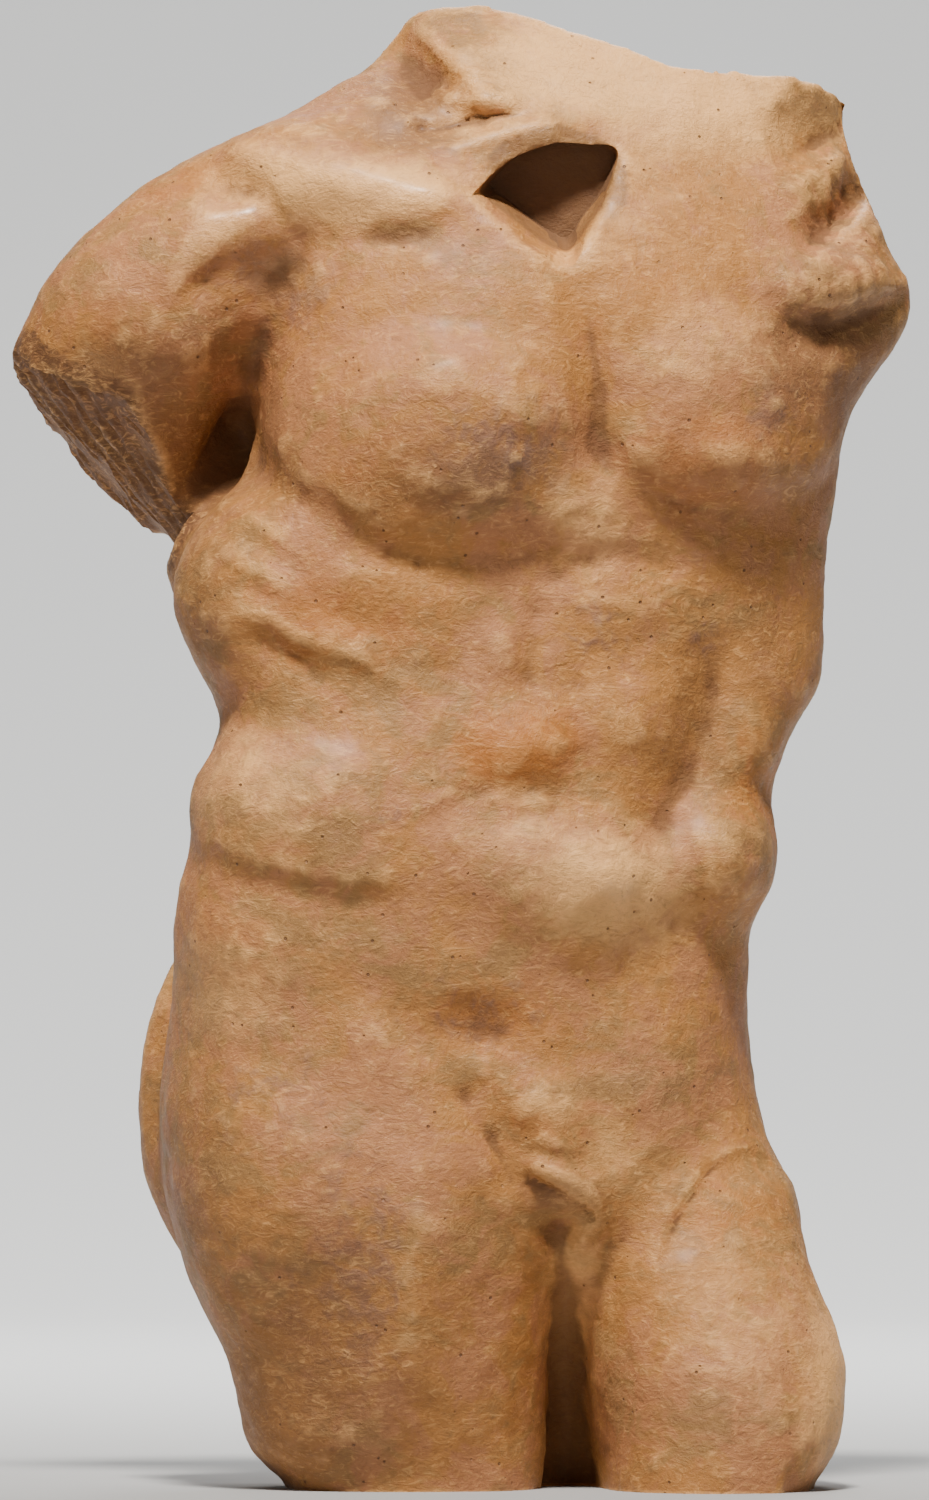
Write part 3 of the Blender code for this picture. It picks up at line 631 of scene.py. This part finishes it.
class Paint:
    """One socket of a shader tree. Sums and products of these read as plain Python and add Math nodes."""

    def __init__(self, tree, socket=None):
        self.tree = tree
        self.socket = socket

    def node(self, kind, settings=None, inputs=None, output=0):
        """Adds a node, sets it, feeds it values or other sockets, and gives one of its outputs."""
        made = self.tree.nodes.new(kind)
        for name, value in (settings or {}).items():
            setattr(made, name, value)
        for key, value in (inputs or {}).items():
            if isinstance(value, Paint):
                self.tree.links.new(value.socket, made.inputs[key])
            else:
                made.inputs[key].default_value = value
        return Paint(self.tree, made.outputs[output])

    def math(self, operation, *values):
        """Adds one sum, product or the like of the values."""
        return self.node("ShaderNodeMath", {"operation": operation}, dict(enumerate(values)))

    def __add__(self, other):
        return self.math("ADD", self, other)

    def __sub__(self, other):
        return self.math("SUBTRACT", self, other)

    def __mul__(self, other):
        return self.math("MULTIPLY", self, other)

    def __radd__(self, other):
        return self.math("ADD", other, self)

    def __rsub__(self, other):
        return self.math("SUBTRACT", other, self)

    def __abs__(self):
        return self.math("ABSOLUTE", self)

    def between(self, low, high):
        """Rises smoothly from 0 at the low value to 1 at the high one."""
        settings = {"interpolation_type": "SMOOTHSTEP"}
        ends = {"Value": self, "From Min": low, "From Max": high}
        if low > high:
            ends.update({"From Min": high, "From Max": low, "To Min": 1.0, "To Max": 0.0})
        return self.node("ShaderNodeMapRange", settings, ends)

    def blend(self, colour_at_0, colour_at_1):
        """Mixes two colours by this value."""
        inputs = {0: self, 6: colour_at_0, 7: colour_at_1}
        return self.node("ShaderNodeMix", {"data_type": "RGBA"}, inputs, 2)

    def noise(self, place, scale, detail=4.0, roughness=0.55, distortion=0.0):
        """Cloudy pattern, from 0 to 1, fixed to the piece."""
        inputs = {
            "Vector": place, "Scale": scale, "Detail": detail,
            "Roughness": roughness, "Distortion": distortion,
        }
        return self.node("ShaderNodeTexNoise", None, inputs)

    def mark(self, name):
        """One of the marks that the carving stored on the skin."""
        return self.node("ShaderNodeAttribute", {"attribute_name": name}, None, 2)


def colour(rgb):
    """A colour as the shader's sockets take it."""
    return (*rgb, 1.0)


def patina(look):
    """Waxed patina: mottled tan, pale where rubbed and painted highlights where forms face the light, a
    brown wash with painted shade, umber in creases, plum grey and rusty stains, and painted shade inside
    the hole at the pit of the neck.
    """
    material = bpy.data.materials.new("patinated_stone")
    material.use_nodes = True
    shader = material.node_tree.nodes["Principled BSDF"]
    paint = Paint(material.node_tree)
    place = paint.node("ShaderNodeTexCoord", None, None, 3)
    blotch = paint.noise(place, 24.0, 6.0, 0.62, 0.9)
    fleck = paint.noise(place, 95.0, 5.0, 0.62, 0.5)
    grain = paint.noise(place, 520.0, 3.0, 0.6)
    squashed = {0: place, 1: (1.0, 1.0, 2.2)}
    brushed = paint.node("ShaderNodeVectorMath", {"operation": "MULTIPLY"}, squashed)
    turn = {"Vector": place, "Rotation": (0, 0.9, 0), "Scale": (1, 1, 2.4)}
    slanted = paint.node("ShaderNodeMapping", None, turn)
    hand = paint.noise(place, 16.0, 2.0).between(0.46, 0.54)
    level_strokes = paint.noise(brushed, 85.0, 4.0, 0.65, 2.6)
    strokes = level_strokes * (1 - hand) + paint.noise(slanted, 80.0, 4.0, 0.65, 1.8) * hand
    pink_cloud = paint.noise(place, 9.0, 5.0, 0.58, 0.6)
    green_cloud = paint.noise(brushed, 6.5, 5.0, 0.62, 0.9)
    lines = paint.noise(place, 60.0, 2.0, 0.5, 3.5)
    hairs = (abs(lines - 0.5)).between(0.016, 0.0) * paint.noise(place, 18.0).between(0.48, 0.62)
    crease, hollow = paint.mark("crease"), paint.mark("hollow")
    plum, ochre = paint.mark("plum"), paint.mark("ochre")
    pale, dark = paint.mark("pale"), paint.mark("dark")
    polish, torn, deep = paint.mark("polish"), paint.mark("torn"), paint.mark("deep")

    uneven = (blotch - 0.5) * 1.3 + (fleck - 0.5) * 0.7
    rubbed = (crease * 0.55 + uneven * 1.1).between(0.3, 1.0)
    sunk = ((-0.6 - crease) * 0.6 + (-3.0 - hollow) * 0.12 + uneven * 0.4).between(0.0, 1.4)
    mottle = paint.noise(place, 46.0, 4.0, 0.6, 0.8)
    pinkish = (pink_cloud * 0.6 + mottle * 0.4).between(0.46, 0.56)
    greenish = (green_cloud * 0.6 - mottle * 0.4).between(0.08, 0.20)
    rust = (ochre * 0.8 + uneven * 0.8 + (mottle - 0.5) * 0.9).between(0.1, 0.85)
    # Brown wash from the dark marks and the broken arm face: darker patina, and painted shade where the
    # form turns from the light.
    wash_and_shade_mask = (dark + torn * 1.2 + uneven * 0.9).between(0.1, 1.2)
    # Pale coat: rubbed patina, and painted highlights where forms face the light.
    pale_wear_and_light = (pale + uneven * 0.9).between(0.1, 1.1)
    bloom = (plum + (fleck - 0.5) * 2.4 + (blotch - 0.5) * 1.2).between(0.35, 1.15)

    pits = paint.node("ShaderNodeTexVoronoi", None, {"Vector": place, "Scale": 105.0})
    chosen = paint.noise(place, 42.0, 2.0).between(0.54, 0.60)
    pinholes = pits.between(0.13, 0.07) * chosen

    # Coats laid over the tan, first to last: how strongly each covers, and its colour. The brown wash and
    # the pale coat are in part painted shade and painted highlights, and the shade coat is painted shade
    # inside the hole at the pit of the neck.
    coats = (
        (pinkish * 0.7, look.pink),
        (greenish * 0.6, look.olive),
        (rust * 0.8, look.ochre),
        (bloom * 0.75, look.plum),
        (wash_and_shade_mask * 0.7, look.wash_and_shade),
        (pale_wear_and_light * 0.72, look.rubbed),
        (strokes.between(0.50, 0.74) * 0.34 + rubbed * 0.32, look.rubbed),
        (strokes.between(0.50, 0.26) * 0.34, look.umber),
        ((ochre - 0.9).between(0.1, 0.7) * 0.6, look.ochre),
        (hairs * 0.2, look.rubbed),
        (sunk * 0.7, look.umber),
        (torn * strokes.between(0.62, 0.42) * 0.75, look.umber),
        (deep * 0.55, look.shade),
        (pinholes * 0.8, look.umber),
    )
    skin_tone = colour(look.tan)
    for cover, tint in coats:
        skin_tone = cover.blend(skin_tone, colour(tint))
    material.node_tree.links.new(skin_tone.socket, shader.inputs["Base Color"])

    glint = (polish + (fleck - 0.5) * 1.6).between(0.3, 1.1)
    roughness = 0.6 + (fleck - 0.5) * 0.5 + sunk * 0.2 - rubbed * 0.12 - glint * 0.14 + torn * 0.15
    material.node_tree.links.new(roughness.socket, shader.inputs["Roughness"])
    shader.inputs["Metallic"].default_value = 0.0
    shader.inputs["Specular IOR Level"].default_value = 0.35
    wax = look.wax + glint * 0.5
    material.node_tree.links.new(wax.socket, shader.inputs["Coat Weight"])
    shader.inputs["Coat Roughness"].default_value = 0.3

    relief = fleck * 0.7 + strokes * 0.35 + grain * 0.2 - pinholes * 0.9 + hairs * 0.12 + blotch * 0.6
    bump = paint.node("ShaderNodeBump", None, {"Strength": 0.7, "Distance": 0.003, "Height": relief})
    material.node_tree.links.new(bump.socket, shader.inputs["Normal"])
    return material


class TorsoSizes(bpy.types.PropertyGroup):
    """Sizes of the fine skin."""

    grain: bpy.props.FloatProperty(
        name="Grain", description="Size of the cells that the skin is refined to", default=0.0042,
        unit="LENGTH",
    )
    soften: bpy.props.IntProperty(
        name="Soften", description="Rounds of evening out the solid's facets", default=26,
    )
    notch_depth: bpy.props.FloatProperty(
        name="Notch depth", description="Depth of the hole at the pit of the neck", default=0.038,
        unit="LENGTH",
    )


class PatinaLook(bpy.types.PropertyGroup):
    """Colours and gloss of the patina."""

    tan: bpy.props.FloatVectorProperty(
        name="Tan", description="Main tone of the patina", default=(0.405, 0.170, 0.041),
        subtype="COLOR",
    )
    pink: bpy.props.FloatVectorProperty(
        name="Pink", description="Pinker clouds in the tan", default=(0.415, 0.168, 0.074),
        subtype="COLOR",
    )
    olive: bpy.props.FloatVectorProperty(
        name="Olive grey", description="Greyish green clouds", default=(0.26, 0.150, 0.054),
        subtype="COLOR",
    )
    ochre: bpy.props.FloatVectorProperty(
        name="Ochre", description="Rusty ochre stains", default=(0.38, 0.122, 0.014), subtype="COLOR",
    )
    # Colour of the brown wash, also laid on as painted shade where forms turn from the light.
    wash_and_shade: bpy.props.FloatVectorProperty(
        name="Brown wash", description="Broad darker parts", default=(0.19, 0.085, 0.032),
        subtype="COLOR",
    )
    plum: bpy.props.FloatVectorProperty(
        name="Plum grey", description="Greyish violet bloom", default=(0.24, 0.120, 0.085),
        subtype="COLOR",
    )
    # Also the colour of the painted highlights where forms face the light.
    rubbed: bpy.props.FloatVectorProperty(
        name="Rubbed", description="Where the patina is rubbed pale", default=(0.94, 0.50, 0.180),
        subtype="COLOR",
    )
    umber: bpy.props.FloatVectorProperty(
        name="Umber", description="Dark in the creases and pinholes", default=(0.12, 0.048, 0.018),
        subtype="COLOR",
    )
    shade: bpy.props.FloatVectorProperty(
        name="Shade", description="Inside the hole at the pit of the neck", default=(0.11, 0.060, 0.032),
        subtype="COLOR",
    )
    wax: bpy.props.FloatProperty(
        name="Wax", description="Strength of the waxed gloss", default=0.07, min=0, max=1,
        subtype="FACTOR",
    )


class StageLook(bpy.types.PropertyGroup):
    """Camera, lights and backdrop."""

    distance: bpy.props.FloatProperty(
        name="Camera distance", description="From the camera to the figure", default=7.0, unit="LENGTH",
    )
    camera_height: bpy.props.FloatProperty(
        name="Camera height", description="Height of the camera above the floor", default=0.26,
        unit="LENGTH",
    )
    aim_height: bpy.props.FloatProperty(
        name="Aim height", description="Height that the camera looks at", default=0.448, unit="LENGTH",
    )
    aim_side: bpy.props.FloatProperty(
        name="Aim side", description="How far to the right the camera looks", default=0.0025,
        unit="LENGTH",
    )
    field_height: bpy.props.FloatProperty(
        name="Field height", description="Height of the view at the figure", default=0.912,
        unit="LENGTH",
    )
    paper: bpy.props.FloatVectorProperty(
        name="Paper", description="Colour of the backdrop", default=(0.38, 0.38, 0.375),
        subtype="COLOR",
    )


class TORSO_OT_carve(bpy.types.Operator):
    """Carve the torso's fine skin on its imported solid"""

    bl_idname = "torso.carve"
    bl_label = "Carve torso"

    def execute(self, context):
        body = carve(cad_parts["torso"], context.scene.torso_sizes)
        body.data.materials.clear()
        body.data.materials.append(patina(context.scene.torso_patina))
        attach(body, "root")
        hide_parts("torso")
        return {"FINISHED"}


# The backdrop in metres: a square sheet, its middle in front of the figure, and a wall at its far edge.
PAPER_SIZE = 40
PAPER_MIDDLE_Y = -8
WALL_HEIGHT = 9
BEND_WIDTH = 7.5

# Lights: name, place, size, power and tint.
LIGHTS = (
    ("key", (-0.2, -2.5, 4.85), 0.75, 570, (1.0, 0.96, 0.91)),
    ("fill_left", (-2.3, -4.4, 1.5), 1.6, 10, (1, 1, 1)),
    ("fill_right", (2.3, -4.4, 1.5), 1.6, 14, (1, 1, 1)),
    ("wall", (0, 2.0, 5.0), 3.0, 1500, (1, 1, 1)),
    ("back_top", (0.4, 3.4, 3.6), 1.6, 80, (1, 1, 1)),
)
WALL_LIGHT_TILT = 65  # degrees up from straight down, towards the wall
AIR_LIGHT = 0.05


def backdrop(look):
    """Seamless paper: floor, a wide bend and a wall."""
    bpy.ops.object.select_all(action="DESELECT")
    bpy.ops.mesh.primitive_plane_add(size=PAPER_SIZE, location=(0, PAPER_MIDDLE_Y, 0))
    paper = bpy.context.object
    paper.name = "backdrop"
    bpy.ops.object.mode_set(mode="EDIT")
    bpy.ops.mesh.select_all(action="DESELECT")
    bpy.ops.object.mode_set(mode="OBJECT")
    for edge in paper.data.edges:
        edge.select = all(paper.data.vertices[i].co.y > 0 for i in edge.vertices)
    bpy.ops.object.mode_set(mode="EDIT")
    bpy.ops.mesh.extrude_region_move(TRANSFORM_OT_translate={"value": (0, 0, WALL_HEIGHT)})
    bpy.ops.mesh.select_all(action="SELECT")
    bpy.ops.object.mode_set(mode="OBJECT")
    apply_modifier(paper, "BEVEL", width=BEND_WIDTH, segments=32, limit_method="ANGLE")
    select_only(paper)
    bpy.ops.object.shade_smooth()
    bpy.ops.object.transform_apply(location=True, rotation=True, scale=True)
    material = bpy.data.materials.new("paper")
    material.use_nodes = True
    shader = material.node_tree.nodes["Principled BSDF"]
    shader.inputs["Base Color"].default_value = colour(look.paper)
    shader.inputs["Roughness"].default_value = 0.9
    paper.data.materials.append(material)


def soft_light(name, place, size, power, tint):
    """A square light aimed at the middle of the figure."""
    bpy.ops.object.light_add(type="AREA", location=place)
    lamp = bpy.context.object
    lamp.name = name
    lamp.data.size = size
    lamp.data.energy = power
    lamp.data.color = tint
    lamp.rotation_euler = (Vector((0, 0, 0.5)) - Vector(place)).to_track_quat("-Z", "Y").to_euler()


def camera(look):
    """Long lens, a little below the middle of the figure, level with the front view."""
    bpy.ops.object.camera_add(location=(look.aim_side, -look.distance, look.camera_height))
    eye = bpy.context.object
    eye.name = "camera"
    aim = Vector((look.aim_side, 0, look.aim_height))
    eye.rotation_euler = (aim - eye.location).to_track_quat("-Z", "Y").to_euler()
    eye.data.sensor_width = 36
    eye.data.lens = 36 * look.distance / look.field_height
    eye.data.clip_end = 60
    bpy.context.scene.camera = eye


class TORSO_OT_stage(bpy.types.Operator):
    """Set the backdrop, the lights and the camera"""

    bl_idname = "torso.stage"
    bl_label = "Set stage"

    def execute(self, context):
        look = context.scene.torso_stage
        backdrop(look)
        for light in LIGHTS:
            soft_light(*light)
        bpy.data.objects["wall"].rotation_euler = (math.radians(WALL_LIGHT_TILT), 0, 0)
        world = bpy.data.worlds.new("studio")
        context.scene.world = world
        world.use_nodes = True
        air = world.node_tree.nodes["Background"]
        air.inputs["Color"].default_value = (1, 1, 1, 1)
        air.inputs["Strength"].default_value = AIR_LIGHT
        camera(look)
        return {"FINISHED"}


class TORSO_PT_panel(bpy.types.Panel):
    """Lists the torso's steps and settings"""

    bl_idname = "TORSO_PT_panel"
    bl_label = "Torso"
    bl_space_type = "VIEW_3D"
    bl_region_type = "UI"
    bl_category = "Torso"

    def draw(self, context):
        layout = self.layout
        for step, settings in (
            (TORSO_OT_carve, (context.scene.torso_sizes, context.scene.torso_patina)),
            (TORSO_OT_stage, (context.scene.torso_stage,)),
        ):
            for group in settings:
                for name in group.__annotations__:
                    layout.prop(group, name)
            layout.operator(step.bl_idname)


CLASSES = (TorsoSizes, PatinaLook, StageLook, TORSO_OT_carve, TORSO_OT_stage, TORSO_PT_panel)


def register():
    """Makes the panel, the steps and their settings known to Blender."""
    for part in CLASSES:
        bpy.utils.register_class(part)
    bpy.types.Scene.torso_sizes = bpy.props.PointerProperty(type=TorsoSizes)
    bpy.types.Scene.torso_patina = bpy.props.PointerProperty(type=PatinaLook)
    bpy.types.Scene.torso_stage = bpy.props.PointerProperty(type=StageLook)


def unregister():
    """Takes all of that back out."""
    del bpy.types.Scene.torso_stage
    del bpy.types.Scene.torso_patina
    del bpy.types.Scene.torso_sizes
    for part in reversed(CLASSES):
        bpy.utils.unregister_class(part)


def main():
    """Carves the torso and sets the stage."""
    register()
    bpy.ops.torso.carve()
    bpy.ops.torso.stage()


if __name__ == "__main__":
    main()
